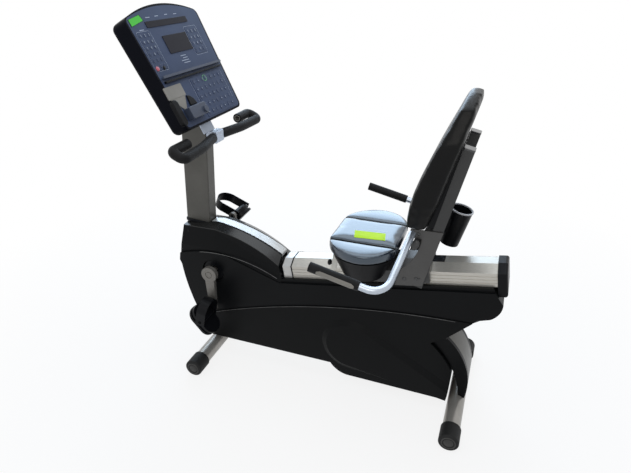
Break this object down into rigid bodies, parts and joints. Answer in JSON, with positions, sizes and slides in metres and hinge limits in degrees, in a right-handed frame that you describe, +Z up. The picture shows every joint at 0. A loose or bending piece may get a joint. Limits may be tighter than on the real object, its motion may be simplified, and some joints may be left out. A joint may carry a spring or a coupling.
{
  "type": "recumbent exercise bike",
  "caption": "Black and silver recumbent exercise bike: console on a post, moulded shroud, aluminium seat rail, sliding cushioned seat with side grips, and two strapped pedals.",
  "frame": {"origin": "On the floor, at the middle of the bounding box in X and Y.", "axes": "+X runs from the console end to the seat's rear, the way a seated rider's back faces; +Y is square to the rail, towards the far side of the picture; +Z is up."},
  "size_m": [1.4083, 0.778, 1.4927],
  "materials": {
    "silver_paint": "satin",
    "foot_rubber": "matte",
    "frame_paint": "satin",
    "post_paint": "satin",
    "shroud_plastic": "satin",
    "casing_plastic": "satin",
    "cover_plastic": "satin",
    "rail_metal": "brushed",
    "black_plastic": "matte",
    "face_plastic": "satin",
    "ledge_plastic": "satin",
    "display_glass": "gloss",
    "bracket_metal": "satin",
    "crank_metal": "satin",
    "grip_foam": "matte",
    "seat_vinyl": "satin"
  },
  "bodies": {
    "frame": {"accessory_box": "ledge_plastic", "accessory_plate": "bracket_metal", "accessory_pouch": "black_plastic", "bar_clamp": "bracket_metal", "bar_grip_left": "grip_foam", "bar_grip_right": "grip_foam", "casing_left": "casing_plastic", "casing_right": "casing_plastic", "console_bracket": "bracket_metal", "console_display": "display_glass", "console_face": "face_plastic", "console_housing": "black_plastic", "console_ledge": "ledge_plastic", "console_readout": "display_glass", "crank_boss_left": "black_plastic", "crank_boss_right": "black_plastic", "front_foot": "silver_paint", "front_foot_cap_left": "foot_rubber", "front_foot_cap_right": "foot_rubber", "handlebar": "silver_paint", "leg_cover_left": "shroud_plastic", "leg_cover_right": "shroud_plastic", "main_frame": "frame_paint", "post": "post_paint", "post_collar": "post_paint", "rail": "rail_metal", "rail_end_cap": "black_plastic", "rail_trough": "cover_plastic", "rear_foot": "silver_paint", "rear_foot_cap_left": "foot_rubber", "rear_foot_cap_right": "foot_rubber", "rear_leg": "post_paint", "shoulder_left": "cover_plastic", "shoulder_right": "cover_plastic", "shroud_left": "shroud_plastic", "shroud_right": "shroud_plastic", "top_cover": "cover_plastic"},
    "crank": {"crank_arm_left": "crank_metal", "crank_arm_right": "crank_metal", "crank_axle": "crank_metal"},
    "pedal_left": {"pedal_left": "black_plastic", "pedal_strap_left": "black_plastic"},
    "pedal_right": {"pedal_right": "black_plastic", "pedal_strap_right": "black_plastic"},
    "seat": {"back_board": "black_plastic", "back_pad": "seat_vinyl", "bottle_holder": "black_plastic", "carriage": "frame_paint", "cushion": "seat_vinyl", "seat_pan": "black_plastic", "seat_plate_left": "frame_paint", "seat_plate_right": "frame_paint", "side_grip_left": "grip_foam", "side_grip_right": "grip_foam", "side_handle_left": "silver_paint", "side_handle_right": "silver_paint", "upright_left": "frame_paint", "upright_right": "frame_paint"}
  },
  "joints": [
    {"name": "crank_turn", "type": "hinge", "parent": "frame", "child": "crank", "pos_m": [-0.48474, 0, 0.444], "axis": [0, 1, 0], "continuous": true},
    {"name": "pedal_left_turn", "type": "hinge", "parent": "crank", "child": "pedal_left", "pos_m": [-0.48474, -0.184, 0.272], "axis": [0, 1, 0], "continuous": true},
    {"name": "pedal_right_turn", "type": "hinge", "parent": "crank", "child": "pedal_right", "pos_m": [-0.48474, 0.184, 0.616], "axis": [0, 1, 0], "continuous": true},
    {"name": "seat_slide", "type": "slide", "parent": "frame", "child": "seat", "axis": [0.9882, 0, 0.153], "range_m": [-0.18, 0.18]}
  ]
}
